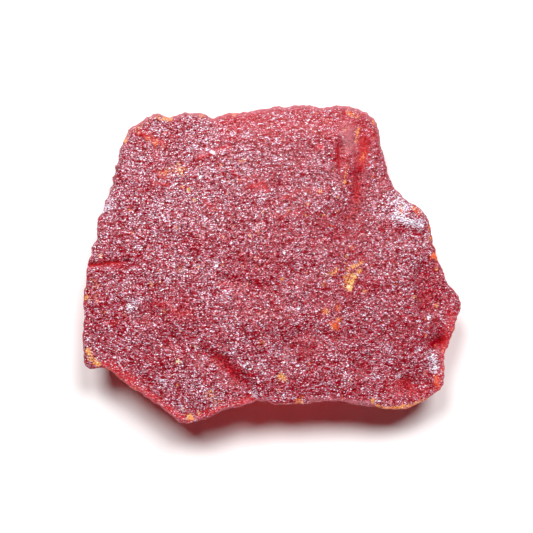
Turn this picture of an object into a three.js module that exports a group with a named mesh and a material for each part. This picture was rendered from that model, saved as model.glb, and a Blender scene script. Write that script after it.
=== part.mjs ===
// A realgar specimen: one massive, fine-grained slab, broken and chipped on every side.
// Millimetres, +Z up. The origin is on the ground, under the middle of the slab.
// The slab is widest at the rim of its upper face, and its sides lean in below that rim.
import * as THREE from 'three';

// The rim seen from above, clockwise: each side's points run from its corner to just before the next.
const RIM_SIDES = {
  back: [[-21.7, 22.1], [-18.5, 24.0], [-16.5, 23.5], [-13.7, 24.0], [-10.7, 23.9], [-9.2, 23.4],
    [-5.7, 24.2], [-2.5, 24.4], [0.7, 25.1], [5.9, 25.4], [8.7, 24.9], [10.7, 25.2], [13.1, 25.1],
    [14.9, 24.4]],
  right: [[16.5, 23.5], [17.3, 22.3], [17.5, 19.6], [18.1, 16.8], [19.2, 13.7], [21.3, 10.7],
    [24.9, 8.2], [25.7, 4.4], [26.7, 1.0], [28.2, -2.6], [30.2, -5.6], [30.1, -9.2], [28.6, -12.4],
    [28.0, -16.4]],
  front: [[27.6, -19.6], [25.4, -21.7], [22.0, -23.1], [18.8, -23.2], [14.3, -22.5], [9.5, -21.9],
    [4.0, -22.2], [-2.5, -22.0], [-7.3, -23.3], [-11.3, -25.1], [-14.1, -25.3], [-17.7, -22.7],
    [-22.0, -19.8], [-26.0, -16.9]],
  left: [[-29.4, -16.5], [-30.0, -12.5], [-30.0, -8.2], [-29.8, -4.0], [-29.1, 0.2], [-28.4, 2.6],
    [-27.8, 4.4], [-27.8, 7.0], [-26.2, 9.8], [-25.4, 13.4], [-24.7, 15.2], [-24.1, 18.2],
    [-23.6, 19.4], [-22.8, 21.0]],
};
const CHIP_SIZE = 3;
const CHIP_DEPTH = 0.5;
const MEAN_CHIP = 0.35;

// The upper face: a low crown that falls away to the rim, with a worn edge that is widest at the back.
const CROWN = { x: -2, y: 0.5, height: 13.4 };
const HALF_LENGTH = 30;
const HALF_DEPTH = 25;
const FALL_LENGTHWISE = 3.4;
const FALL_TO_EDGES = 1.8;
const WORN_EDGE = { width: 0.5, widerAtBack: 0.9, depth: 0.15, deeperAtBack: 0.8 };

// Cuts in the upper face. Each is deepest along its line of [x, y] points, and rises over the
// widths `left` and `right` of somebody who walks the line. A negative depth is a ridge or a knob.
const CUTS = [
  { line: [[15.4, 20.3], [13.7, 15.8], [13.7, 11.8], [12.7, 7.5]], left: 8, right: 2.2, depth: 0.8 },
  { line: [[11.0, 18.5], [11.1, 15.8]], left: 0.7, right: 0.6, depth: 0.4 },
  { line: [[-10.5, -14.1], [-7.3, -15.4], [-5.7, -17.8], [-3.3, -19.4], [-2.8, -21.3]],
    left: 0.9, right: 1.4, depth: 0.6 },
  { line: [[-28.6, -0.2], [-22.5, 0.3]], left: 0.5, right: 0.8, depth: 0.6 },
  { line: [[-9.7, -3.7], [-7.3, -2.6], [-4.1, -3.0], [-1.4, -3.8], [1.5, -2.9]],
    left: 0.8, right: 2.4, depth: 0.25 },
  { line: [[3.1, -12.5], [4.7, -11.4], [7.9, -10.9], [11.9, -11.2]], left: 1, right: 3, depth: 0.3 },
  { line: [[23.6, -2.2], [24.2, -7.0]], left: 3.5, right: 0.7, depth: 0.8 },
  { line: [[22.3, -19.7]], left: 2.4, right: 2.4, depth: 0.6 },
  { line: [[14.3, -16.5]], left: 1.8, right: 1.8, depth: 0.6 },
  { line: [[-19.0, -7.7]], left: 1.6, right: 1.6, depth: 0.5 },
  { line: [[-15.0, -12.5]], left: 1.6, right: 1.6, depth: 0.5 },
  { line: [[26.6, -12.6]], left: 1.2, right: 1.2, depth: 0.9 },
  { line: [[-8.1, -5.3]], left: 1.8, right: 1.8, depth: -0.4 },
  { line: [[-4.1, -9.3], [2.3, -9.3]], left: 1.5, right: 1.8, depth: -0.4 },
  { line: [[4.7, -4.2]], left: 2, right: 2, depth: -0.4 },
  { line: [[22.8, 7.7]], left: 2.4, right: 2.4, depth: -0.6 },
  { line: [[-11.3, -20.6]], left: 1.8, right: 1.8, depth: -0.4 },
];

// The sides and the underside
const SIDE_LEAN = 1;
const EXTRA_LEAN_AT_FRONT = 2.5;
const FOOT = { roundingFrom: 0.75, inset: 1.4, lift: 1.7 };
const REST_DEPTH = 1.5;

// The broken ground of each kind of face: large and small scoops, stretched along X by `stretch`.
const TOP_SCOOPS = [{ size: 8, stretch: 1.3, depth: 0.4 }, { size: 3, stretch: 2.2, depth: 0.3 }];
const SIDE_SCOOPS = [{ size: 9, stretch: 1, depth: 3.4 }, { size: 4, stretch: 1, depth: 1.6 }];
const UNDER_SCOOPS = [{ size: 8.5, stretch: 1, depth: 2.2 }, { size: 3.6, stretch: 1, depth: 0.7 }];
const BOWL_SPREAD = 0.3;
const RIDGE_LEVEL = 0.8;

const GRID = 42;
const SIDE_ROWS = 8;

// A repeatable number between 0 and 1 for one cell of a lattice.
function chance(cell, draw) {
  const wave = 43758.5453 * Math.sin(12.9898 * cell.x + 78.233 * cell.y + 37.719 * cell.z + 11.137 * draw);
  return wave - Math.floor(wave);
}

// How deep broken ground is scooped out at a point, from 0 on its highest ridges. A bowl rises from
// a random centre in each cell of a lattice as the square of the distance in cells, the lowest bowl
// counts, and so the bowls meet in sharp ridges.
function scoop(x, y, z, size, stretch = 1) {
  const place = new THREE.Vector3(x / stretch, y, z).divideScalar(size);
  const home = place.clone().floor();
  let lowest = Infinity;
  for (let step = 0; step < 27; step += 1) {
    const cell = new THREE.Vector3(step % 3, Math.floor(step / 3) % 3, Math.floor(step / 9));
    cell.subScalar(1).add(home);
    const centre = new THREE.Vector3(chance(cell, 1), chance(cell, 2), chance(cell, 3)).add(cell);
    lowest = Math.min(lowest, centre.distanceToSquared(place) + BOWL_SPREAD * chance(cell, 4));
  }
  return Math.max(0, RIDGE_LEVEL - lowest);
}

function scooped(x, y, z, layers) {
  return layers.reduce((sum, { size, stretch, depth }) => sum + depth * scoop(x, y, z, size, stretch), 0);
}

const rimCurve = new THREE.CatmullRomCurve3(
  Object.values(RIM_SIDES).flat().map(([x, y]) => new THREE.Vector3(x, y, 0)), true, 'catmullrom', 0.5);

// A point of the rim, `share` of the way round from the back left corner, moved in or out by its chips.
function rimPoint(share) {
  const point = rimCurve.getPoint(share);
  const chip = CHIP_DEPTH * (scoop(point.x, point.y, 0, CHIP_SIZE) - MEAN_CHIP);
  return point.multiplyScalar(1 - chip / point.length());
}

// The depth of one cut: depth exp(-(d / width)^2) at the distance d from its line, where the width
// goes smoothly from the cut's left one to its right one round the line's ends.
function cutDepth(x, y, cut) {
  const starts = cut.line.length > 1 ? cut.line.slice(0, -1) : cut.line;
  let nearest = { distance: Infinity, side: 0 };
  starts.forEach(([startX, startY], index) => {
    const [endX, endY] = cut.line[Math.min(index + 1, cut.line.length - 1)];
    const along = new THREE.Vector2(endX - startX, endY - startY);
    const from = new THREE.Vector2(x - startX, y - startY);
    const length = along.length() || 1;
    const share = THREE.MathUtils.clamp(from.dot(along) / length ** 2, 0, 1);
    const distance = from.clone().addScaledVector(along, -share).length();
    const side = along.cross(from) / length / Math.max(distance, 1e-6);
    if (distance < nearest.distance) {
      nearest = { distance, side };
    }
  });
  const width = THREE.MathUtils.lerp(cut.right, cut.left, (nearest.side + 1) / 2);
  return cut.depth * Math.exp(-((nearest.distance / width) ** 2));
}

// The height of the upper face: its crown, less the cuts, the worn edge and the scoops.
// `inward` is the distance in from the rim.
function topHeight(x, y, inward) {
  const crown = CROWN.height - FALL_LENGTHWISE * ((x - CROWN.x) / HALF_LENGTH) ** 2
    - FALL_TO_EDGES * ((y - CROWN.y) / HALF_DEPTH) ** 2;
  const cuts = CUTS.reduce((sum, cut) => sum + cutDepth(x, y, cut), 0);
  const atBack = Math.max(0, y / HALF_DEPTH);
  const worn = Math.max(0, 1 - inward / (WORN_EDGE.width + WORN_EDGE.widerAtBack * atBack)) ** 2;
  const wornDepth = WORN_EDGE.depth + WORN_EDGE.deeperAtBack * atBack;
  return crown - cuts - worn * wornDepth - scooped(x, y, 0, TOP_SCOOPS);
}

// Where a side stands, seen from above, at `down` of the way from the rim (0) to its foot (1).
function sidePlace(share, down) {
  const rim = rimPoint(share);
  const lean = SIDE_LEAN + EXTRA_LEAN_AT_FRONT * Math.max(0, -rim.y / rim.length());
  const rounding = Math.max(0, (down - FOOT.roundingFrom) / (1 - FOOT.roundingFrom));
  const leaning = rim.clone().multiplyScalar(1 - (lean * down) / rim.length());
  const broken = scooped(leaning.x, leaning.y, CROWN.height * (1 - down), SIDE_SCOOPS);
  const inset = lean * down + FOOT.inset * rounding ** 2 + broken * Math.min(1, 3 * down);
  return rim.multiplyScalar(1 - inset / rim.length());
}

// The height of the underside: broken ground that rises to the foot of the sides and is worn flat
// where the slab rests. `outward` goes from 0 in the middle to 1 at the foot.
function underHeight(x, y, outward) {
  return Math.max(0, FOOT.lift * outward ** 5 + scooped(x, y, 0, UNDER_SCOOPS) - REST_DEPTH);
}

// A square grid laid over a face in nested rings: its outermost ring is the face's border.
// `place` gives a border point by its share of the way round, and `height` the height of any point.
function sheet(place, height) {
  const points = [];
  for (let j = 0; j <= GRID; j += 1) {
    for (let i = 0; i <= GRID; i += 1) {
      const s = (2 * i) / GRID - 1;
      const t = (2 * j) / GRID - 1;
      const ring = Math.max(Math.abs(s), Math.abs(t));
      const border = place(shareAround(s, t, ring));
      points.push(new THREE.Vector3(border.x * ring, border.y * ring,
        height(border.x * ring, border.y * ring, ring, border.length())));
    }
  }
  return points;
}

// How far round its ring, clockwise from the back left corner, a point of the square lies (0 to 1).
function shareAround(s, t, ring) {
  if (ring === 0) return 0;
  if (t === ring) return (s / ring + 1) / 8;
  if (s === ring) return 0.25 + (1 - t / ring) / 8;
  if (t === -ring) return 0.5 + (1 - s / ring) / 8;
  return 0.75 + (t / ring + 1) / 8;
}

// The grid indices of the square's border, clockwise from the back left corner.
function borderIndices() {
  const indices = [];
  const index = (i, j) => j * (GRID + 1) + i;
  for (let step = 0; step < GRID; step += 1) indices.push(index(step, GRID));
  for (let step = 0; step < GRID; step += 1) indices.push(index(GRID, GRID - step));
  for (let step = 0; step < GRID; step += 1) indices.push(index(GRID - step, 0));
  for (let step = 0; step < GRID; step += 1) indices.push(index(0, step));
  return indices;
}

// One closed skin: the upper sheet, the side's rows from the rim down, and the lower sheet.
function slabGeometry() {
  const top = sheet(rimPoint, (x, y, ring, reach) => topHeight(x, y, (1 - ring) * reach));
  const under = sheet((share) => sidePlace(share, 1), underHeight);
  const points = [...top, ...under];
  const faces = [];
  for (let j = 0; j < GRID; j += 1) {
    for (let i = 0; i < GRID; i += 1) {
      const a = j * (GRID + 1) + i;
      const d = a + GRID + 1;
      const lower = top.length;
      faces.push(a, a + 1, d + 1, a, d + 1, d);
      faces.push(lower + a, lower + d + 1, lower + a + 1, lower + a, lower + d, lower + d + 1);
    }
  }
  const border = borderIndices();
  const rows = [border];
  for (let row = 1; row < SIDE_ROWS; row += 1) {
    const down = row / SIDE_ROWS;
    rows.push(border.map((index, step) => {
      const place = sidePlace(step / border.length, down);
      place.z = THREE.MathUtils.lerp(top[index].z, under[index].z, down);
      return points.push(place) - 1;
    }));
  }
  rows.push(border.map((index) => index + top.length));
  for (let row = 0; row < SIDE_ROWS; row += 1) {
    border.forEach((unused, step) => {
      const next = (step + 1) % border.length;
      const [upper, lower] = [rows[row], rows[row + 1]];
      faces.push(upper[step], upper[next], lower[next], upper[step], lower[next], lower[step]);
    });
  }
  const geometry = new THREE.BufferGeometry().setFromPoints(points);
  geometry.setIndex(faces);
  geometry.computeVertexNormals();
  return geometry;
}

const redStone = new THREE.MeshStandardMaterial({ color: 0xa83a4a, roughness: 0.5, metalness: 0 });

const realgar = new THREE.Mesh(slabGeometry(), redStone);
realgar.name = 'realgar';

const specimen = new THREE.Group();
specimen.add(realgar);

export default specimen;
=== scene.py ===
import math

import bpy
import numpy as np
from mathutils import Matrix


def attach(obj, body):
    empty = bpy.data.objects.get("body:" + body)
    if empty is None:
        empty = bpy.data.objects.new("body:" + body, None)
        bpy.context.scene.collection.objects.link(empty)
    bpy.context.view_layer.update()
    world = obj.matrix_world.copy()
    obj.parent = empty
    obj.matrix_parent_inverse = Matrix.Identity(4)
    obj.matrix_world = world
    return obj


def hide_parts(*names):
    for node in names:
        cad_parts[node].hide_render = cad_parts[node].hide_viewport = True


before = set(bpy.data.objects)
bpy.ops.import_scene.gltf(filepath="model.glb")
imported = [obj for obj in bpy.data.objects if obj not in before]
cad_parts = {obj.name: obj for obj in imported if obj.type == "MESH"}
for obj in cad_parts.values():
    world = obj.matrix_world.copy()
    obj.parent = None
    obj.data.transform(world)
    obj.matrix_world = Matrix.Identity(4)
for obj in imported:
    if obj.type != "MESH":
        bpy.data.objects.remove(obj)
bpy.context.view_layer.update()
mm = 0.001  # shapes are worked out in millimetres and made in metres

view = {
    "lookAt": (-0.64, -0.40, 9.8),  # the middle of the view in mm, at the level of the slab's rim
    "width": 85.3,  # how many mm the view takes in at that level
    "lens": 100.0,
    "sensor": 36.0,
    "nearest": 0.01,  # the camera sees nothing nearer than this, in metres
}


def makeCamera():
    camera = bpy.data.objects.new("overheadCamera", bpy.data.cameras.new("overheadCamera"))
    camera.data.lens = view["lens"]
    camera.data.sensor_width = view["sensor"]
    camera.data.clip_start = view["nearest"]
    distance = view["width"] * view["lens"] / view["sensor"]
    x, y, z = view["lookAt"]
    camera.location = (x * mm, y * mm, (z + distance) * mm)
    bpy.context.scene.collection.objects.link(camera)
    bpy.context.scene.camera = camera
    print("camera", round(distance), "mm above the rim")


# Lengths are in millimetres. A layer of scoops has their size, their stretch along X and their depth
slab = {
    # the rim seen from above, clockwise: a side's points run from its corner to just before the next
    "rim": {
        "back": [(-21.7, 22.1), (-18.5, 24.0), (-16.5, 23.5), (-13.7, 24.0), (-10.7, 23.9), (-9.2, 23.4),
                 (-5.7, 24.2), (-2.5, 24.4), (0.7, 25.1), (5.9, 25.4), (8.7, 24.9), (10.7, 25.2),
                 (13.1, 25.1), (14.9, 24.4)],
        "right": [(16.5, 23.5), (17.3, 22.3), (17.5, 19.6), (18.1, 16.8), (19.2, 13.7), (21.3, 10.7),
                  (24.9, 8.2), (25.7, 4.4), (26.7, 1.0), (28.2, -2.6), (30.2, -5.6), (30.1, -9.2),
                  (28.6, -12.4), (28.0, -16.4)],
        "front": [(27.6, -19.6), (25.4, -21.7), (22.0, -23.1), (18.8, -23.2), (14.3, -22.5), (9.5, -21.9),
                  (4.0, -22.2), (-2.5, -22.0), (-7.3, -23.3), (-11.3, -25.1), (-14.1, -25.3),
                  (-17.7, -22.7), (-22.0, -19.8), (-26.0, -16.9)],
        "left": [(-29.4, -16.5), (-30.0, -12.5), (-30.0, -8.2), (-29.8, -4.0), (-29.1, 0.2), (-28.4, 2.6),
                 (-27.8, 4.4), (-27.8, 7.0), (-26.2, 9.8), (-25.4, 13.4), (-24.7, 15.2), (-24.1, 18.2),
                 (-23.6, 19.4), (-22.8, 21.0)],
    },
    # cuts in the upper face: the line walked, the widths to the walker's left and right, and the depth
    "cuts": [
        ([(15.4, 20.3), (13.7, 15.8), (13.7, 11.8), (12.7, 7.5)], 8, 2.2, 0.8),
        ([(11.0, 18.5), (11.1, 15.8)], 0.7, 0.6, 0.4),
        ([(-10.5, -14.1), (-7.3, -15.4), (-5.7, -17.8), (-3.3, -19.4), (-2.8, -21.3)], 0.9, 1.4, 0.6),
        ([(-28.6, -0.2), (-22.5, 0.3)], 0.5, 0.8, 0.6),
        ([(-9.7, -3.7), (-7.3, -2.6), (-4.1, -3.0), (-1.4, -3.8), (1.5, -2.9)], 0.8, 2.4, 0.25),
        ([(3.1, -12.5), (4.7, -11.4), (7.9, -10.9), (11.9, -11.2)], 1, 3, 0.3),
        ([(23.6, -2.2), (24.2, -7.0)], 3.5, 0.7, 0.8),
        ([(22.3, -19.7)], 2.4, 2.4, 0.6),
        ([(14.3, -16.5)], 1.8, 1.8, 0.6),
        ([(-19.0, -7.7)], 1.6, 1.6, 0.5),
        ([(-15.0, -12.5)], 1.6, 1.6, 0.5),
        ([(26.6, -12.6)], 1.2, 1.2, 0.9),
        ([(-8.1, -5.3)], 1.8, 1.8, -0.4),
        ([(-4.1, -9.3), (2.3, -9.3)], 1.5, 1.8, -0.4),
        ([(4.7, -4.2)], 2, 2, -0.4),
        ([(22.8, 7.7)], 2.4, 2.4, -0.6),
        ([(-11.3, -20.6)], 1.8, 1.8, -0.4),
    ],
    "gridSteps": 196,  # squares along each side of the upper and the lower sheet
    "sideRows": 28,
    "crown": (-2, 0.5, 13.4),  # the highest ground: x, y and height
    "halfSize": (30, 25),  # half the slab's length and half its depth
    "wornEdge": (0.5, 0.9, 0.15, 0.8),  # its width, how much wider it is at the back, and both depths
    "fall": (3.4, 1.8),  # how far the crown falls lengthwise and to the front and back
    "lean": (1, 2.5),  # how far the sides lean in, and how much more at the front
    "foot": (0.75, 1.4),  # where down the sides they begin to round under, and how far in they go
    "lift": (1.7, 5),  # how far the underside turns up at its edge, and how sharply
    "restDepth": 1.5,  # how much of the underside is worn flat
    "scoopOnset": 3,  # the sides' scoops have their full depth from a third of the way down
    "bowlSpread": 0.3,  # how unlike in depth the scoops of a layer are
    "ridgeLevel": 0.8,  # the level at which a scoop ends
    "meanScoop": 0.35,  # what is taken off a fine layer, so that it moves the surface both ways
    # the layers: those named fine are too fine for the solid
    "chips": [(3.0, 1, 0.5)],
    "fineChips": [(1.3, 1, 0.4), (0.7, 1, 0.3)],
    "topScoops": [(8, 1.3, 0.4), (3, 2.2, 0.3)],
    "sideScoops": [(9, 1, 3.4), (4, 1, 1.6)],
    "underScoops": [(8.5, 1, 2.2), (3.6, 1, 0.7)],
    "fineScoops": [(1.7, 1.8, 0.09), (0.95, 1.5, 0.08)],
    "sideFineScoops": [(2.0, 1, 0.7), (1.0, 1, 0.35)],
}

# What makes chance look random: a wave's turns from cell to cell and from draw to draw, and its height
cellTurns = np.array([12.9898, 78.233, 37.719])
drawTurn = 11.137
waveHeight = 43758.5453


# chance = the fraction of waveHeight sin(cellTurns . cell + drawTurn draw), from 0 to 1
def chance(cell, draw):
    wave = waveHeight * np.sin(cell @ cellTurns + drawTurn * draw)
    return wave - np.floor(wave)


# scoop = max(0, ridgeLevel - least of (|p - c|^2 + bowlSpread chance)), where p is the point in cells
# and c the random centre of each of the 27 cells round it
def scoop(x, y, z, size, stretch):
    place = np.stack(np.broadcast_arrays(x / stretch, y, z), -1) / size
    home = np.floor(place)
    lowest = np.full(place.shape[:-1], np.inf)
    for step in np.ndindex(3, 3, 3):
        cell = home + np.array(step) - 1
        centre = cell + np.stack([chance(cell, draw) for draw in (1, 2, 3)], -1)
        bowl = ((place - centre) ** 2).sum(-1) + slab["bowlSpread"] * chance(cell, 4)
        lowest = np.minimum(lowest, bowl)
    return np.maximum(0, slab["ridgeLevel"] - lowest)


# scooped = the sum of depth (scoop - level) over the layers
def scooped(x, y, z, layers, level=0):
    return sum(depth * (scoop(x, y, z, size, stretch) - level) for size, stretch, depth in layers)


# rimCurve = p1 + w a + w^2 (3 (p2 - p1) - 2 a - b) + w^3 (2 (p1 - p2) + a + b), a closed Catmull-Rom
# curve, where w is the share of the span p1 p2, a = (p2 - p0) / 2 and b = (p3 - p1) / 2
def rimCurve(share):
    points = np.array(sum(slab["rim"].values(), []))
    place = np.mod(share, 1) * len(points)
    span = np.floor(place).astype(int)
    w = (place - span)[..., None]
    before, start, end, after = (points[(span + step) % len(points)] for step in (-1, 0, 1, 2))
    a = (end - before) / 2
    b = (after - start) / 2
    return start + w * a + w**2 * (3 * (end - start) - 2 * a - b) + w**3 * (2 * (start - end) + a + b)


# rimPoint = the rim's curve, moved in or out along its radius by the chips
def rimPoint(share):
    point = rimCurve(share)
    x, y = point[..., 0], point[..., 1]
    chip = scooped(x, y, 0, slab["chips"] + slab["fineChips"], slab["meanScoop"])
    return point * (1 - chip / np.hypot(x, y))[..., None]


# The distance to a line of points, and the side: 1 to the left of who walks it, -1 to the right
def nearLine(x, y, line):
    distance = np.full(x.shape, np.inf)
    side = np.zeros(x.shape)
    for (startX, startY), (endX, endY) in zip(line, line[1:] or line):
        alongX, alongY = endX - startX, endY - startY
        length = math.hypot(alongX, alongY) or 1.0
        fromX, fromY = x - startX, y - startY
        share = np.clip((fromX * alongX + fromY * alongY) / length**2, 0, 1)
        reach = np.hypot(fromX - share * alongX, fromY - share * alongY)
        turn = (alongX * fromY - alongY * fromX) / length / np.maximum(reach, 1e-6)  # never 0 / 0
        side = np.where(reach < distance, turn, side)
        distance = np.minimum(reach, distance)
    return distance, side


# cutGround = the sum of depth exp(-(d / width)^2), where the width goes from the right one to the left
# one round the line
def cutGround(x, y):
    total = np.zeros(x.shape)
    for line, left, right, depth in slab["cuts"]:
        distance, side = nearLine(x, y, line)
        width = right + (left - right) * (side + 1) / 2
        total += depth * np.exp(-((distance / width) ** 2))
    return total


# wornShare = (1 - inward / width)^2 next to the rim, and 0 further in
def wornShare(y, inward):
    width, widerAtBack = slab["wornEdge"][:2]
    atBack = np.maximum(0, y / slab["halfSize"][1])
    return np.maximum(0, 1 - inward / (width + widerAtBack * atBack)) ** 2


# topHeight = crown - fall ((p - middle) / half)^2 - cuts - the worn edge - scoops
def topHeight(x, y, inward):
    crownX, crownY, height = slab["crown"]
    halfLength, halfDepth = slab["halfSize"]
    fallLengthwise, fallToEdges = slab["fall"]
    depth, deeperAtBack = slab["wornEdge"][2:]
    height = height - fallLengthwise * ((x - crownX) / halfLength) ** 2
    height = height - fallToEdges * ((y - crownY) / halfDepth) ** 2
    worn = wornShare(y, inward) * (depth + deeperAtBack * np.maximum(0, y / halfDepth))
    fine = scooped(x, y, 0, slab["fineScoops"], slab["meanScoop"])
    return height - cutGround(x, y) - worn - scooped(x, y, 0, slab["topScoops"]) - fine


# sidePlace = rim (1 - inset / |rim|), inset = lean down + rounding^2 + scoops, from down = 0 to 1
def sidePlace(share, down):
    rim = rimPoint(share)
    reach = np.hypot(rim[..., 0], rim[..., 1])
    lean, extraAtFront = slab["lean"]
    lean = lean + extraAtFront * np.maximum(0, -rim[..., 1] / reach)
    roundingFrom, footInset = slab["foot"]
    rounding = np.maximum(0, (down - roundingFrom) / (1 - roundingFrom))
    leaning = rim * (1 - lean * down / reach)[..., None]
    level = slab["crown"][2] * (1 - down)
    broken = scooped(leaning[..., 0], leaning[..., 1], level, slab["sideScoops"])
    fine = scooped(leaning[..., 0], leaning[..., 1], level, slab["sideFineScoops"], slab["meanScoop"])
    onset = np.minimum(1, slab["scoopOnset"] * down)
    inset = lean * down + footInset * rounding**2 + (broken + fine) * onset
    return rim * (1 - inset / reach)[..., None]


# underHeight = max(0, lift outward^sharpness + scoops - restDepth)
def underHeight(x, y, outward):
    lift, sharpness = slab["lift"]
    fine = scooped(x, y, 0, slab["sideFineScoops"], slab["meanScoop"])
    broken = scooped(x, y, 0, slab["underScoops"])
    return np.maximum(0, lift * outward**sharpness + broken + fine - slab["restDepth"])


# nestedRings: ring = max(|s|, |t|), and share = how far round its ring, clockwise from the back left
# corner, a point (s, t) of the square lies, with a quarter of the way for each side
def nestedRings(steps):
    s, t = np.meshgrid(np.linspace(-1, 1, steps + 1), np.linspace(-1, 1, steps + 1))
    ring = np.maximum(np.abs(s), np.abs(t))
    whole = np.where(ring == 0, 1, ring)
    share = np.select(
        [t == ring, s == ring, t == -ring],
        [(s / whole + 1) / 8, 0.25 + (1 - t / whole) / 8, 0.5 + (1 - s / whole) / 8],
        0.75 + (t / whole + 1) / 8,
    )
    return ring, share


# The vertex numbers of a square sheet's border, clockwise from the back left corner
def borderNumbers(steps):
    numbers = np.arange((steps + 1) ** 2).reshape(steps + 1, steps + 1)
    back, right, front, left = numbers[-1, :-1], numbers[:0:-1, -1], numbers[0, :0:-1], numbers[:-1, 0]
    return np.concatenate([back, right, front, left])


# The slab's skin: the upper sheet ring * rim(share), the side's rows, and the lower sheet
# ring * foot(share). It also gives how far each vertex lies below the rim, as a share of the side's
# height (0 on top, 1 below), and its share of the worn edge
def slabSurface():
    steps, rows = slab["gridSteps"], slab["sideRows"]
    ring, share = nestedRings(steps)
    rim = rimPoint(share)
    top = rim * ring[..., None]
    inward = (1 - ring) * np.hypot(rim[..., 0], rim[..., 1])
    topPoints = np.dstack([top, topHeight(top[..., 0], top[..., 1], inward)]).reshape(-1, 3)
    under = sidePlace(share, 1.0) * ring[..., None]
    underPoints = np.dstack([under, underHeight(under[..., 0], under[..., 1], ring)]).reshape(-1, 3)

    border = borderNumbers(steps)
    downSteps, roundSteps = np.arange(1, rows) / rows, np.arange(len(border)) / len(border)
    down, around = np.meshgrid(downSteps, roundSteps, indexing="ij")
    side = sidePlace(around, down)
    level = (1 - down) * topPoints[border, 2] + down * underPoints[border, 2]
    sidePoints = np.dstack([side, level]).reshape(-1, 3)

    cell = np.arange((steps + 1) ** 2).reshape(steps + 1, steps + 1)
    quads = np.stack([cell[:-1, :-1], cell[:-1, 1:], cell[1:, 1:], cell[1:, :-1]], -1).reshape(-1, 4)
    lower = len(topPoints)
    belt = np.arange((rows - 1) * len(border)).reshape(rows - 1, -1) + 2 * lower
    belt = np.vstack([border, belt, border + lower])
    turned = np.roll(belt, -1, axis=1)
    sideQuads = np.stack([belt[:-1], turned[:-1], turned[1:], belt[1:]], -1).reshape(-1, 4)
    points = np.vstack([topPoints, underPoints, sidePoints])
    faces = np.vstack([quads, quads[:, ::-1] + lower, sideQuads])
    below = np.concatenate([np.zeros(lower), np.ones(lower), down.ravel()])
    edge = np.concatenate([wornShare(top[..., 1], inward).ravel(), np.zeros(lower + down.size)])
    return points, faces, below, edge


# Makes a smooth mesh piece from its points in millimetres and its four-sided faces
def makePiece(name, points, faces):
    mesh = bpy.data.meshes.new(name)
    mesh.from_pydata((points * mm).tolist(), [], faces.tolist())
    mesh.shade_smooth()
    mesh.update()
    piece = bpy.data.objects.new(name, mesh)
    bpy.context.scene.collection.objects.link(piece)
    return piece


# The edges between two of the given vertices are sharp: the surface's shading breaks there
def sharpen(piece, numbers):
    ends = np.empty(2 * len(piece.data.edges), dtype=np.int32)
    piece.data.edges.foreach_get("vertices", ends)
    piece.data.edges.foreach_set("use_edge_sharp", np.isin(ends, numbers).reshape(-1, 2).all(axis=1))


def addAttribute(piece, name, values):
    attribute = piece.data.attributes.new(name, "FLOAT", "POINT")
    attribute.data.foreach_set("value", values.astype(np.float32))


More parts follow.
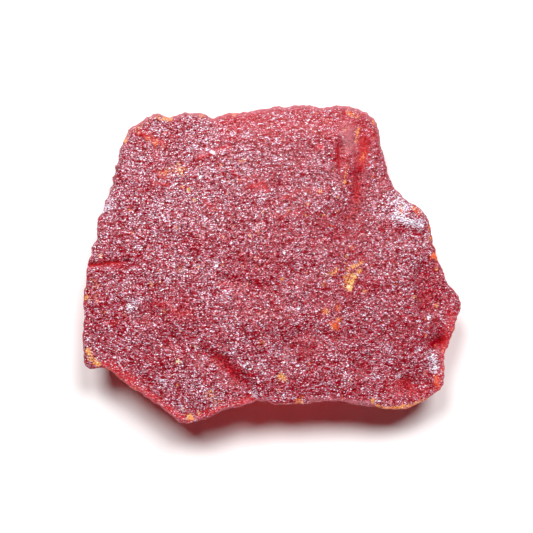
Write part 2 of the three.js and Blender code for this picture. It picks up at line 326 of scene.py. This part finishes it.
# Marks on the upper face: the line in millimetres, the width and the amount
marks = {
    # orpiment crusts and specks, and last their hue: orange-red (0), yellow (1) or cream (1.5)
    "orpiment": [
        ([(14.5, 0.3), (13.0, -0.5)], 0.4, 0.75, 0.6),
        ([(14.2, -1.0), (13.3, -1.9)], 0.4, 0.75, 0.7),
        ([(13.3, -1.9), (12.7, -3.0)], 0.55, 0.95, 0.9),
        ([(12.5, -3.8)], 0.6, 0.9, 0.8),
        ([(12.4, -3.6)], 0.35, 1.3, 1.35),
        ([(12.3, -0.8), (11.9, -2.0), (12.2, -3.4)], 0.75, 0.55, 0.6),
        ([(9.2, -1.7), (10.3, -1.2)], 0.7, 0.5, 0.5),
        ([(8.6, -3.0)], 0.6, 0.45, 0.4),
        ([(12.9, 2.7)], 0.5, 0.5, 0.3),
        ([(11.9, 1.3)], 0.5, 0.5, 0.5),
        ([(14.8, -4.3)], 0.45, 0.65, 0.5),
        ([(10.2, -9.8)], 0.9, 0.9, -0.1),
        ([(10.8, -8.9)], 0.5, 0.9, 0.4),
        ([(8.7, -7.5)], 0.7, 0.8, 0.3),
        ([(10.7, -6.9)], 0.7, 0.7, 0.1),
        ([(16.3, -21.9)], 0.6, 0.8, 0.6),
        ([(17.0, -22.7), (19.0, -23.1), (22.0, -22.9), (25.2, -21.7)], 0.35, 0.8, 0.5),
        ([(4.7, -21.8)], 0.8, 0.7, 0.3),
        ([(1.5, -17.8), (2.3, -18.2)], 0.6, 0.8, 0.6),
        ([(-12.9, -24.3)], 0.8, 0.9, 0.6),
        ([(-9.7, -20.8), (-7.8, -22.1)], 1.0, 0.4, 0.8),
        ([(-29.2, -13.8), (-28.8, -15.0), (-27.7, -15.9)], 0.55, 0.85, 0.7),
        ([(-25.9, -16.9), (-24.6, -18.2)], 0.35, 0.7, 0.5),
        ([(-24.6, -18.2), (-20.5, -20.6)], 0.4, 0.4, 0.3),
        ([(-29.4, -5.3)], 0.6, 0.7, 0.8),
        ([(-28.2, -1.8), (-28.0, -5.4)], 1.0, 0.35, 0.3),
        ([(-27.1, 1.3)], 0.5, 0.7, 0.5),
        ([(-14.6, -15.5)], 0.5, 1.0, 1.5),
        ([(-23.3, 19.7)], 0.5, 0.8, 0.6),
        ([(-17.7, 23.2), (-16.1, 23.2)], 0.5, 0.7, 0.5),
        ([(-11.0, 23.6)], 0.5, 0.7, 0.5),
        ([(-5.7, 24.0)], 0.4, 0.7, 0.5),
        ([(-17.0, 14.4), (-14.0, 15.2)], 1.1, 0.45, 0.4),
        ([(-14.6, 15.8), (-14.0, 14.0)], 0.4, 0.6, 0.8),
        ([(-20.0, 20.5), (-17.5, 19.0)], 1.1, 0.42, 0.1),
        ([(-23.3, 20.2), (-20.0, 22.9), (-16.5, 23.9)], 0.8, 0.38, 0.3),
        ([(-13.0, 11.7)], 0.4, 0.9, 1.0),
        ([(-12.1, 10.1)], 0.4, 0.9, 1.0),
        ([(13.0, 23.8)], 0.5, 0.7, 0.6),
        ([(12.3, 24.2), (13.8, 23.6)], 0.5, 0.6, 0.4),
        ([(16.6, 22.6)], 0.5, 0.6, 0.3),
        ([(14.1, 21.8), (13.7, 19.5)], 0.4, 0.6, 0.6),
        ([(15.1, 17.9), (14.5, 16.6)], 0.4, 0.6, 0.2),
        ([(12.1, 15.9), (11.5, 12.0)], 0.3, 0.5, 0.6),
        ([(20.8, 9.4), (20.8, 8.2)], 0.4, 0.7, 0.1),
        ([(22.8, 9.0), (23.8, 8.0)], 0.65, 0.6, 0.1),
        ([(25.5, 5.8)], 0.45, 0.8, 0.1),
        ([(25.5, 4.2)], 0.5, 0.55, 0.7),
        ([(7.9, 11.5)], 0.4, 0.7, 0.6),
        ([(23.0, -5.3)], 0.4, 0.9, 1.0),
        ([(26.6, -6.6)], 0.5, 0.8, 0.7),
        ([(26.3, 1.2)], 0.8, 1.0, 0.0),
        ([(26.6, -0.8)], 0.4, 0.8, 0.5),
        ([(-4.6, 16.3)], 0.5, 0.7, 0.3),
        ([(-1.4, -12.5)], 0.8, 0.5, 0.3),
        ([(26.6, -18.3), (27.0, -19.8)], 0.7, 0.65, 0.0),
        ([(29.2, -10.4)], 0.5, 0.7, 0.0),
        ([(28.1, -14.1)], 0.5, 0.7, 0.0),
        ([(27.8, -17.0)], 0.4, 0.6, 0.0),
        ([(24.8, -17.6)], 0.5, 0.5, 0.0),
        ([(1.8, -2.4)], 0.4, 0.6, 0.5),
        ([(-19.0, -3.2)], 0.4, 0.7, 0.6),
        ([(-17.0, -7.5)], 0.5, 0.6, 0.6),
        ([(-14.3, -0.8)], 0.4, 0.7, 0.6),
    ],
    # where the stone has more pale frost and painted glints, or less where the amount is negative; in the
    # grooves and pits that less is painted shade
    "frostAndGlint": [
        ([(20.2, 10.2), (21.4, 9.2)], 1.1, 4.0),
        ([(20.0, 7.6), (21.6, 6.9), (23.9, 6.1)], 0.6, 8.0),
        ([(19.6, 4.9), (21.0, 5.6), (22.9, 5.3), (23.6, 4.6)], 0.35, -0.7),
        ([(18.5, 8.2), (21.0, 8.5), (23.5, 7.5)], 1.6, 0.8),
        ([(25.9, -14.6), (26.4, -16.4)], 0.7, 6.5),
        ([(26.5, -16.7)], 0.5, 6.0),
        ([(26.0, -13.2), (28.0, -11.9)], 0.7, -0.9),
        ([(25.1, -8.3), (25.3, -8.9)], 0.3, 5.0),
        ([(27.2, -7.6), (27.7, -9.2)], 0.2, 3.0),
        ([(20.2, -18.1), (20.6, -17.9)], 0.3, 5.0),
        ([(-22.2, -6.6)], 0.8, 4.0),
        ([(-23.3, -16.8)], 0.35, 4.0),
        ([(-17.2, -18.6)], 0.5, 3.0),
        ([(-14.5, -22.6), (-14.1, -23.2)], 0.4, 4.0),
        ([(-9.2, -16.5)], 0.35, 4.0),
        ([(-3.4, -16.6)], 0.45, 3.0),
        ([(-2.5, -20.5)], 0.45, 4.0),
        ([(-6.0, 20.6)], 0.45, 3.5),
        ([(-4.0, 20.3)], 0.35, 3.0),
        ([(-20.7, 17.0)], 0.4, 3.0),
        ([(-12.2, 18.8)], 0.45, 2.0),
        ([(-9.2, 15.0)], 0.35, 3.0),
        ([(-20.7, 2.5)], 0.35, 4.0),
        ([(-13.8, -1.6)], 0.45, 3.5),
        ([(-15.6, -2.1)], 0.45, 2.5),
        ([(-8.5, 0.2)], 0.35, 3.0),
        ([(-26.0, 13.2)], 0.8, 1.5),
        ([(-25.8, 9.2)], 0.8, 3.0),
        ([(-28.6, -0.2), (-24.0, 0.4)], 0.5, -0.6),
        ([(-8.5, -15.0), (-5.5, -17.3)], 1.4, -0.6),
        ([(-0.9, 10.7)], 0.7, 2.0),
        ([(1.5, 16.6)], 0.6, 2.0),
        ([(-11.3, -20.6)], 1.8, 0.5),
        ([(-8.1, -5.3)], 1.8, 0.3),
        ([(22.3, -19.7)], 2.4, -0.45),
        ([(25.2, -4.5)], 2.0, -0.25),
        ([(15.2, 19.5), (13.9, 14.0), (13.4, 8.0)], 0.9, -0.65),
        ([(10.8, 19.5), (10.2, 14.5)], 0.7, -0.6),
        ([(-16.0, 16.0), (4.0, 13.0)], 7.0, 0.15),
        ([(-24.0, 10.5), (-12.0, 9.5)], 3.0, 0.2),
        ([(-23.0, 20.3), (-17.0, 23.3)], 1.3, 0.4),
        ([(-3.0, 10.5), (5.0, 10.5)], 3.5, -0.25),
        ([(1.0, 19.5), (5.0, 19.5)], 2.5, -0.25),
        ([(-19.8, 19.5), (-15.6, 16.0)], 2.5, -0.3),
        ([(1.0, 2.0), (-6.0, -5.0)], 3.0, -0.25),
        ([(10.0, 5.0), (13.0, -1.5)], 3.0, -0.35),
        ([(17.7, -8.6), (26.0, -8.6)], 3.0, -0.25),
        ([(17.7, -13.0), (25.0, -13.0)], 2.5, -0.15),
        ([(-23.0, -8.6), (-19.8, -8.6)], 2.5, -0.25),
        ([(-19.8, 1.9)], 2.0, -0.35),
        ([(-11.4, -12.2)], 2.5, 0.45),
        ([(-11.4, -15.7)], 1.8, -0.35),
        ([(-3.0, -12.2), (0.0, -14.5)], 2.5, 0.5),
        ([(5.2, 1.0), (5.2, -15.0)], 2.2, -0.25),
        ([(-24.0, 12.5), (-24.0, 5.4)], 1.8, 0.35),
        ([(-15.6, 23.0), (-11.4, 23.0)], 2.0, 0.35),
        ([(9.4, 16.0), (13.0, 9.5)], 2.2, 0.3),
        ([(9.4, 9.5)], 2.0, 0.3),
        ([(6.0, -5.1)], 2.0, 0.3),
        ([(13.5, -5.1)], 2.0, 0.25),
        ([(-28.0, -8.0), (-28.0, -12.2)], 1.5, 0.35),
        ([(5.2, -13.5), (13.5, -15.7)], 2.5, -0.25),
    ],
    # smooth cleavage faces, with a painted pink sheen
    "smooth": [
        ([(12.3, 21.3), (12.6, 18.6)], 1.2, 0.7),
        ([(6.5, -21.6), (12.0, -21.9), (16.0, -22.4)], 0.5, 0.8),
    ],
    # thin edges and clean faces, a more vivid red: on the thin edges a painted glow of the light they let
    # through
    "vivid": [
        ([(-26.6, -16.0), (-22.0, -19.2), (-17.7, -22.0), (-14.2, -24.6)], 0.6, 0.7),
        ([(-25.5, -16.4), (-21.8, -18.8)], 1.1, 0.6),
        ([(-13.0, -24.8), (-7.3, -22.6), (-3.0, -21.4)], 0.6, 0.6),
        ([(29.3, -8.0), (28.3, -12.3)], 0.8, 0.4),
        ([(28.3, -12.3), (27.7, -16.5), (26.8, -19.9)], 0.9, 0.6),
        ([(19.5, -19.5), (24.5, -20.5)], 1.8, 0.3),
        ([(22.3, -19.7)], 2.4, 0.15),
        ([(-28.6, -0.2), (-24.0, 0.4)], 0.6, 0.3),
        ([(-8.5, -15.0), (-5.5, -17.3)], 1.2, 0.1),
        ([(-11.4, 17.0), (-6.5, 18.6)], 0.35, 0.6),
        ([(-7.0, 22.5), (14.0, 22.5)], 2.5, 0.3),
        ([(14.6, 20.5), (14.8, 16.5)], 1.1, 0.4),
        ([(12.2, 18.0), (11.7, 14.5)], 0.7, 0.35),
        ([(7.4, 18.6), (8.2, 18.5)], 0.4, 0.7),
    ],
    # gaps in the haze, where clean bright red shows
    "streaks": [
        ([(-6.2, 15.0), (-4.4, 13.2), (-2.5, 13.8)], 0.35, 0.6),
        ([(-3.3, 12.1), (-1.4, 12.8), (-0.4, 11.6)], 0.4, 1.0),
        ([(-10.4, 9.8), (-8.1, 8.4), (-6.5, 8.0)], 0.35, 0.6),
        ([(1.5, 10.2), (4.7, 11.6), (9.0, 11.8)], 0.35, 0.6),
        ([(0.4, 7.6), (5.2, 8.1)], 0.35, 0.6),
        ([(-18.8, -6.4), (-16.3, -6.2), (-14.5, -8.3), (-12.7, -7.4)], 0.4, 0.7),
        ([(-8.1, -3.2), (-5.8, -3.2)], 0.35, 0.6),
        ([(-25.9, -9.6), (-24.1, -9.2)], 0.35, 0.6),
        ([(-20.7, 20.8), (-17.2, 19.2)], 0.5, 0.8),
        ([(-18.2, 14.4), (-16.6, 13.7)], 0.4, 0.6),
        ([(-18.8, 12.8), (-16.1, 12.5)], 0.3, 0.6),
        ([(-9.5, 23.0), (-6.7, 23.7)], 0.4, 0.6),
        ([(-1.0, 20.8), (0.2, 20.8)], 0.5, 0.7),
        ([(15.9, 21.1), (16.9, 20.2)], 0.5, 0.5),
        ([(10.8, 18.2), (11.1, 15.0)], 0.5, 0.5),
        ([(13.7, 12.8), (13.7, 10.2)], 0.4, 0.6),
    ],
    "fadeBelow": 3,  # marks fade out over the first third of the sides
    "plainHue": 0.3,  # the hue of orpiment away from the marks
    "frostAndGlintLost": {"below": 0.5, "cuts": 0.5, "vivid": 0.45, "streaks": 0.8},  # the pale frost and painted glints that each takes away; in the cuts this is painted shade
    "streakVivid": 0.45,  # how vivid a red streak is
    "smoothRim": (15, 5, 0.35),  # the worn rim's smoothness and painted pink sheen: from how far to the front or back, over how many mm, and the least
    "sideOnset": 6,  # the sides' own look is full from a sixth of the way down
}


# A mark's share at each point = exp(-(d / width)^2) of the distance d to its line
def markShare(x, y, line, width):
    return np.exp(-((nearLine(x, y, line)[0] / width) ** 2))


# Each attribute is a sum, or the greatest, of the shares of its marks
def paintMarks(piece, points, below, edge):
    x, y = points[:, 0], points[:, 1]
    onTop = np.maximum(0, 1 - marks["fadeBelow"] * below)
    lost = marks["frostAndGlintLost"]

    orpiment = np.zeros(len(points))
    hue = np.full(len(points), marks["plainHue"])
    for line, width, amount, markHue in marks["orpiment"]:
        share = amount * markShare(x, y, line, width) * onTop
        hue = np.where(share > orpiment, markHue, hue)
        orpiment = np.maximum(share, orpiment)

    frostAndGlint = 1 - lost["below"] * below
    for line, width, amount in marks["frostAndGlint"]:
        frostAndGlint += amount * markShare(x, y, line, width) * onTop
    # painted shade: less pale frost and fewer glints down in the cuts, so they are darker red
    frostAndGlint -= lost["cuts"] * np.clip(cutGround(x, y), 0, 1) * onTop

    smoothFrom, smoothOver, leastSmooth = marks["smoothRim"]
    smooth = edge * np.clip((np.abs(y) - smoothFrom) / smoothOver, leastSmooth, 1)
    for line, width, amount in marks["smooth"]:
        smooth = np.maximum(smooth, amount * markShare(x, y, line, width) * onTop)

    vivid = np.zeros(len(points))
    for line, width, amount in marks["vivid"]:
        vivid = np.maximum(vivid, amount * markShare(x, y, line, width) * onTop)
    frostAndGlint -= lost["vivid"] * vivid
    for line, width, amount in marks["streaks"]:
        share = amount * markShare(x, y, line, width) * onTop
        frostAndGlint -= lost["streaks"] * share
        vivid = np.maximum(vivid, marks["streakVivid"] * share)

    addAttribute(piece, "orpiment", orpiment)
    addAttribute(piece, "hue", hue)
    addAttribute(piece, "frostAndGlint", np.maximum(0, frostAndGlint))
    addAttribute(piece, "smoothEdge", smooth)
    addAttribute(piece, "vivid", vivid)
    addAttribute(piece, "side", np.minimum(1, marks["sideOnset"] * below))


# A socket that takes part in sums: wire + 1, 1 - wire, wire * other and so on each add a Math node
class Wire:
    def __init__(self, graph, socket):
        self.graph = graph
        self.socket = socket

    def __add__(self, other):
        return self.graph.maths("ADD", self, other)

    def __radd__(self, other):
        return self.graph.maths("ADD", other, self)

    def __sub__(self, other):
        return self.graph.maths("SUBTRACT", self, other)

    def __rsub__(self, other):
        return self.graph.maths("SUBTRACT", other, self)

    def __mul__(self, other):
        return self.graph.maths("MULTIPLY", self, other)

    def __rmul__(self, other):
        return self.graph.maths("MULTIPLY", other, self)

    def __pow__(self, other):
        return self.graph.maths("POWER", self, other)

    def __rpow__(self, other):
        return self.graph.maths("POWER", other, self)


# The nodes of a material or of the world
class Graph:
    def __init__(self, owner):
        owner.use_nodes = True
        self.tree = owner.node_tree
        self.tree.nodes.clear()

    # Adds a node: its settings first, then a value or a wire into each socket; returns the outputs asked
    def add(self, kind, settings=None, inputs=None, outputs=(0,)):
        node = self.tree.nodes.new(kind)
        for name, value in (settings or {}).items():
            setattr(node, name, value)
        for name, value in (inputs or {}).items():
            if isinstance(value, Wire):
                self.tree.links.new(value.socket, node.inputs[name])
            else:
                node.inputs[name].default_value = value
        wires = [Wire(self, node.outputs[name]) for name in outputs]
        return wires[0] if len(wires) == 1 else wires

    def maths(self, operation, first, second):
        return self.add("ShaderNodeMath", {"operation": operation}, {0: first, 1: second})

    def vector(self, operation, first, second):
        return self.add("ShaderNodeVectorMath", {"operation": operation}, {0: first, 1: second})

    def scale(self, vector, factor):
        return self.add("ShaderNodeVectorMath", {"operation": "SCALE"}, {0: vector, "Scale": factor})

    # The colour between two colours
    def mix(self, first, second, factor):
        settings = {"data_type": "RGBA", "clamp_factor": True}
        return self.add("ShaderNodeMix", settings, {0: factor, 6: first, 7: second}, (2,))

    # 0 below low, 1 above high, and a smooth step between
    def between(self, value, low, high):
        settings = {"interpolation_type": "SMOOTHSTEP"}
        return self.add("ShaderNodeMapRange", settings, {"Value": value, "From Min": low, "From Max": high})

    def noise(self, place, size, detail, roughness):
        inputs = {"Vector": place, "Scale": 1 / (size * mm), "Detail": detail, "Roughness": roughness}
        return self.add("ShaderNodeTexNoise", {}, inputs)

    # Noise as patches: 0 where it is below low, 1 where it is above high
    def patches(self, place, size, detail, roughness, low, high):
        return self.between(self.noise(place, size, detail, roughness), low, high)

    def stretched(self, place, stretch):
        return self.add("ShaderNodeMapping", {}, {"Vector": place, "Scale": stretch})

    def attribute(self, name):
        return self.add("ShaderNodeAttribute", {"attribute_name": name}, {}, ("Fac",))

    def place(self):
        return self.add("ShaderNodeTexCoord", {}, {}, ("Object",))


# Sizes are in millimetres. A noise has its size, detail and roughness, and patches of it also the two
# levels between which they go from none to full. Other pairs are the least and what comes on top of it
stone = {
    "grainSize": 0.105,
    "grainStretch": (0.6, 1.0, 1.0),
    "grainTilt": 0.6,  # how far the grains' faces turn from the surface
    "grainShade": 0.5,  # what is left of the red on the darkest grain under its painted shade
    "shading": (0.85, 0.3),  # how much of any colour the grains keep under their painted shade
    "roughness": (0.3, 0.2),  # the dullest grain's, and how much less it is on the shiniest
    "ripple": (0.25, 3.0, 0.6),
    "rippleDepth": 0.06,
    "rippleStrength": 0.5,

    # the haze of pale grains, which has gaps: partly real pale grains, partly painted glints
    "haze": 0.132,
    "gapHaze": 0.01,  # how much of it lies over the gaps too
    "hazeContrast": 1.6,
    "palest": 0.995,  # nearer to 1, the palest grains are paler still
    "ground": (0.35, 3.0, 0.65, 0.40, 0.54),
    "groundStretch": (0.35, 1, 1),
    "hazeAmount": (0.68, 0.64),
    "hazePatches": (5.0, 3.0, 0.6, 0.35, 0.65),

    # painted glints on sparkling grains, and pale flakes, with more of both in clumps
    "sparkle": 1.2,
    "sparkling": (0.93, 1.0),  # the light from which a grain sparkles, and where it does so fully
    "sparkleAmount": (0.4, 1.6),
    "flake": 1.5,
    "flakes": (0.35, 1.0, 0.5, 0.7, 0.78),
    "clumps": (1.3, 2.0, 0.5),
    "sparkleClumps": (0.55, 0.75),
    "flakeClumps": (0.70, 0.80),

    # what brings out the bright red, a painted light and shade on each grain: a grain's light, its light to
    # a power, and the ground
    "lit": (0.35, 0.45, 0.2),
    "litPower": 3.0,
    "sidePatches": (5.0, 4.0, 0.6, 0.2, 0.6),
    "pinkShare": 0.5,
    "whiteFromFrostAndGlint": (1.0, 2.5),  # from lilac to white, a painted highlight, between these amounts of frost and glint

    # orpiment: painted crusts with a ragged edge, patches on the sides, stray specks and single grains
    "crustGrain": 0.5,
    "crustEdge": (0.5, 0.65),
    "crustCover": (0.5, 0.4),
    "ragged": (0.9, 4.0, 0.7),
    "raggedness": 1.5,
    "sideCrusts": (7.0, 3.0, 0.6, 0.5, 0.75),
    "strays": (0.9, 1.0, 0.5, 0.70, 0.78),
    "strayAmount": 0.5,
    "singlePower": 8.0,
    "singleAmount": 0.3,
    "creamHue": (1.0, 1.5),  # from yellow to cream between these hues
    "creamFromFrostAndGlint": 0.5,

    # the colours, each of which the mixes below go to in turn
    "deepRed": (0.15, 0.0005, 0.005, 1),
    "brightRed": (0.42, 0.0005, 0.011, 1),
    "vividRed": (0.60, 0.03, 0.03, 1),
    "sideRed": (0.60, 0.03, 0.025, 1),
    "lilac": (0.83, 0.78, 0.975, 1),
    "white": (0.93, 0.92, 0.95, 1),
    "pink": (0.62, 0.26, 0.30, 1),
    "orangeRed": (0.80, 0.13, 0.03, 1),
    "yellow": (0.90, 0.52, 0.14, 1),
    "cream": (0.95, 0.80, 0.55, 1),

    # how light is thrown back and goes into the stone
    "indexOfRefraction": 1.4,
    "gloss": 0.22,
    "through": 0.1,
    "throughColour": (1.0, 0.1, 0.08),
    "throughDepth": 3.0,
}


# frost = painted amount (spread^contrast (gapHaze painted^2 + ground) haze + sparkle + flakes), where
# spread = -ln(1 - palest light) makes a few grains much paler than the rest. It is partly pale grains and
# partly painted glints, the light thrown back by the grains' faces
def frostAndGlintOverStone(graph, place, grainPlace, ground, light):
    leastHaze, moreHaze = stone["hazeAmount"]
    leastSparkle, moreSparkle = stone["sparkleAmount"]
    haze = leastHaze + moreHaze * graph.patches(place, *stone["hazePatches"])
    clumps = graph.noise(place, *stone["clumps"])
    flakes = graph.patches(grainPlace, *stone["flakes"]) + graph.between(clumps, *stone["flakeClumps"])
    inClumps = graph.between(clumps, *stone["sparkleClumps"])
    # painted glints: the palest grains sparkle, more of them in clumps
    sparkle = graph.between(light, *stone["sparkling"]) * (leastSparkle + moreSparkle * inClumps)

    painted = graph.attribute("frostAndGlint")
    amount = painted * haze
    spread = -1.0 * graph.maths("LOGARITHM", 1.0 - light * stone["palest"], math.e)
    cover = stone["gapHaze"] * painted**2.0 + ground
    frostAndGlint = spread ** stone["hazeContrast"] * cover * stone["haze"] + sparkle * stone["sparkle"]
    return amount * (frostAndGlint + flakes * stone["flake"])


# red = deep red to bright red by lit = light + light^litPower + ground, a painted light and shade, times
# (grainShade + shade), a painted shade per grain, more vivid where it is painted so and paler in patches on
# the sides
def redOfStone(graph, place, ground, light, shade):
    fromLight, fromBrightest, fromGround = stone["lit"]
    lit = light * fromLight + light ** stone["litPower"] * fromBrightest + ground * fromGround
    red = graph.mix(stone["deepRed"], stone["brightRed"], lit)
    # painted shade: each grain's red darkened by its random shade
    red = graph.scale(red, stone["grainShade"] + shade)
    # more vivid red where marked: on thin edges a painted glow, in the streaks the clean red
    red = graph.mix(red, stone["vividRed"], graph.attribute("vivid"))
    onSide = graph.attribute("side") * graph.patches(place, *stone["sidePatches"])
    return graph.mix(red, stone["sideRed"], onSide)


# crust = painted (crustGrain + growth) + patches on the sides + strays + ragged noise + single grains,
# with a hard edge, and its colour goes from orange-red by yellow to cream with the painted hue
def orpimentOverStone(graph, place, colour, frostAndGlint, growth):
    painted = graph.attribute("orpiment")
    ragged = graph.noise(place, *stone["ragged"])
    onSides = graph.patches(place, *stone["sideCrusts"]) * graph.attribute("side")
    strays = graph.patches(place, *stone["strays"]) * stone["strayAmount"]
    single = growth ** stone["singlePower"] * stone["singleAmount"]
    crust = painted * (stone["crustGrain"] + growth) + onSides + strays
    crust = crust + (ragged - 0.5) * stone["raggedness"] + single  # noise lies round 0.5
    crust = graph.between(crust, *stone["crustEdge"])

    hue = graph.attribute("hue")
    ochre = graph.mix(stone["orangeRed"], stone["yellow"], hue)
    ochre = graph.mix(ochre, stone["cream"], graph.between(hue, *stone["creamHue"]))
    ochre = graph.mix(ochre, stone["cream"], frostAndGlint * stone["creamFromFrostAndGlint"])
    leastCover, moreCover = stone["crustCover"]
    return graph.mix(colour, ochre, crust * (leastCover + painted * moreCover))


# The surface's normal, rippled, with each grain's own tilt added
def grainNormal(graph, grainPlace, grain):
    ripple = graph.noise(grainPlace, *stone["ripple"])
    depth = stone["rippleDepth"] * mm
    inputs = {"Strength": stone["rippleStrength"], "Distance": depth, "Height": ripple}
    bump = graph.add("ShaderNodeBump", {}, inputs, ("Normal",))
    tilt = graph.vector("SUBTRACT", grain, (0.5, 0.5, 0.5))  # random colours lie round 0.5
    normal = graph.vector("ADD", bump, graph.scale(tilt, stone["grainTilt"]))
    return graph.add("ShaderNodeVectorMath", {"operation": "NORMALIZE"}, {0: normal})


def stoneMaterial():
    material = bpy.data.materials.new("realgarStone")
    graph = Graph(material)
    place = graph.place()
    grainPlace = graph.stretched(place, stone["grainStretch"])
    ground = graph.patches(graph.stretched(place, stone["groundStretch"]), *stone["ground"])

    # each grain's random colour gives its light and its shade, both painted into its colour, and how
    # readily orpiment grows on it
    cells = {"Vector": grainPlace, "Scale": 1 / (stone["grainSize"] * mm)}
    grain = graph.add("ShaderNodeTexVoronoi", {}, cells, ("Color",))
    light, shade, growth = graph.add("ShaderNodeSeparateColor", {}, {0: grain}, ("Red", "Green", "Blue"))

    smoothEdge = graph.attribute("smoothEdge")
    frostAndGlint = frostAndGlintOverStone(graph, place, grainPlace, ground, light) * (1 - smoothEdge)
    colour = redOfStone(graph, place, ground, light, shade)
    # a painted pink sheen on the smooth faces and the worn rim
    colour = graph.mix(colour, stone["pink"], smoothEdge * stone["pinkShare"])
    # lilac over the red: partly pale grains, partly painted glints
    colour = graph.mix(colour, stone["lilac"], frostAndGlint)
    # painted highlights: where frost and glint are thickest the grains go white
    colour = graph.mix(colour, stone["white"], graph.between(frostAndGlint, *stone["whiteFromFrostAndGlint"]))
    colour = orpimentOverStone(graph, place, colour, frostAndGlint, growth)
    # painted shade: every colour darkened grain by grain by its random shade
    leastShading, moreShading = stone["shading"]
    colour = graph.scale(colour, leastShading + moreShading * shade)

    dullest, lessForShiny = stone["roughness"]
    shader = graph.add(
        "ShaderNodeBsdfPrincipled",
        {"subsurface_method": "RANDOM_WALK"},
        {
            "Base Color": colour,
            "Roughness": dullest - lessForShiny * shade,
            "Normal": grainNormal(graph, grainPlace, grain),
            "IOR": stone["indexOfRefraction"],
            "Specular IOR Level": stone["gloss"],
            "Subsurface Weight": stone["through"],
            "Subsurface Radius": stone["throughColour"],
            "Subsurface Scale": stone["throughDepth"] * mm,
        },
    )
    graph.add("ShaderNodeOutputMaterial", {}, {"Surface": shader}, ())
    return material


def makeSlab():
    points, faces, below, edge = slabSurface()
    piece = makePiece("realgarSlab", points, faces)
    sharpen(piece, borderNumbers(slab["gridSteps"]))
    paintMarks(piece, points, below, edge)
    piece.data.materials.append(stoneMaterial())
    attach(piece, "root")
    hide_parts("realgar")
    print("slab", len(points), "points,", 2 * len(faces), "triangles")


# Lengths are in metres
studio = {
    "lampLean": 30.2,  # degrees that both lamps lean from straight above
    "lampTurns": (-25.0, 25.0),  # degrees to the left and right of straight behind
    "lampDistance": 0.8,
    "lampAcross": 0.28,
    "lampPower": 5.2,
    "fillLight": (0.035, 0.02, 0.02, 1),  # from all sides
    "glowPlace": (0, -0.010, 0.025),  # the red light that the stone lets through to the paper
    "glowPower": 0.006,
    "glowColour": (1.0, 0.01, 0.02),
    "glowRadius": 0.01,
    "backdrop": (0.86, 0.86, 0.86, 1),  # seen past the paper, and gives no light
    "paper": (0.9, 0.9, 0.9, 1),
    "floorReach": 3.0,
    "floorFade": (0.12, 0.45),  # from here to there the paper fades into the backdrop
    "floorDrop": 0.00005,  # the stone's flat foot and the paper don't share a plane
}


# Two soft lamps, each aimed from its place at the stone
def makeLamps():
    lean = math.radians(studio["lampLean"])
    for turn in np.radians(studio["lampTurns"]):
        lamp = bpy.data.objects.new("softLamp", bpy.data.lights.new("softLamp", "AREA"))
        lamp.data.shape = "DISK"
        lamp.data.size = studio["lampAcross"]
        lamp.data.energy = studio["lampPower"]
        lamp.data.cycles.use_multiple_importance_sampling = False  # or the glow's links make it brighter
        aim = (math.sin(lean) * math.sin(turn), math.sin(lean) * math.cos(turn), math.cos(lean))
        lamp.location = [studio["lampDistance"] * part for part in aim]
        lamp.rotation_euler = (-lean, 0, -turn)
        bpy.context.scene.collection.objects.link(lamp)


def makeGlow():
    glow = bpy.data.objects.new("throughGlow", bpy.data.lights.new("throughGlow", "POINT"))
    glow.data.energy = studio["glowPower"]
    glow.data.color = studio["glowColour"]
    glow.data.shadow_soft_size = studio["glowRadius"]
    glow.data.cycles.use_multiple_importance_sampling = False
    glow.location = studio["glowPlace"]
    bpy.context.scene.collection.objects.link(glow)
    return glow


# White paper, see-through by a smooth step of the distance from the middle of the floor
def paperMaterial():
    material = bpy.data.materials.new("whitePaper")
    graph = Graph(material)
    near = graph.add("ShaderNodeBsdfDiffuse", {}, {"Color": studio["paper"]})
    far = graph.add("ShaderNodeBsdfTransparent")
    across, along = graph.add("ShaderNodeSeparateXYZ", {}, {0: graph.place()}, ("X", "Y"))
    fade = graph.between((across * across + along * along) ** 0.5, *studio["floorFade"])
    shader = graph.add("ShaderNodeMixShader", {}, {0: fade, 1: near, 2: far})
    graph.add("ShaderNodeOutputMaterial", {}, {"Surface": shader}, ())
    return material


def makeFloor():
    reach, drop = studio["floorReach"], studio["floorDrop"]
    corners = [(-reach, -reach), (reach, -reach), (reach, reach), (-reach, reach)]
    mesh = bpy.data.meshes.new("floor")
    mesh.from_pydata([(x, y, -drop) for x, y in corners], [], [(0, 1, 2, 3)])
    mesh.materials.append(paperMaterial())
    floor = bpy.data.objects.new("floor", mesh)
    bpy.context.scene.collection.objects.link(floor)
    return floor


# The glow lights the floor alone, and nothing else stands in its way
def shineOnlyOn(glow, floor):
    paper = bpy.data.collections.new("paper")
    paper.objects.link(floor)
    glow.light_linking.receiver_collection = paper
    glow.light_linking.blocker_collection = paper


# The camera sees the backdrop, and the stone gets a faint fill light from all sides
def makeAir():
    world = bpy.data.worlds.new("studioAir")
    graph = Graph(world)
    toCamera = graph.add("ShaderNodeLightPath", {}, {}, ("Is Camera Ray",))
    tone = graph.mix(studio["fillLight"], studio["backdrop"], toCamera)
    air = graph.add("ShaderNodeBackground", {}, {"Color": tone})
    graph.add("ShaderNodeOutputWorld", {}, {"Surface": air}, ())
    bpy.context.scene.world = world


def makeStudio():
    makeLamps()
    glow = makeGlow()
    floor = makeFloor()
    shineOnlyOn(glow, floor)
    makeAir()
    bpy.context.scene.view_settings.view_transform = "Standard"
    print("studio")


makeCamera()
makeSlab()
makeStudio()
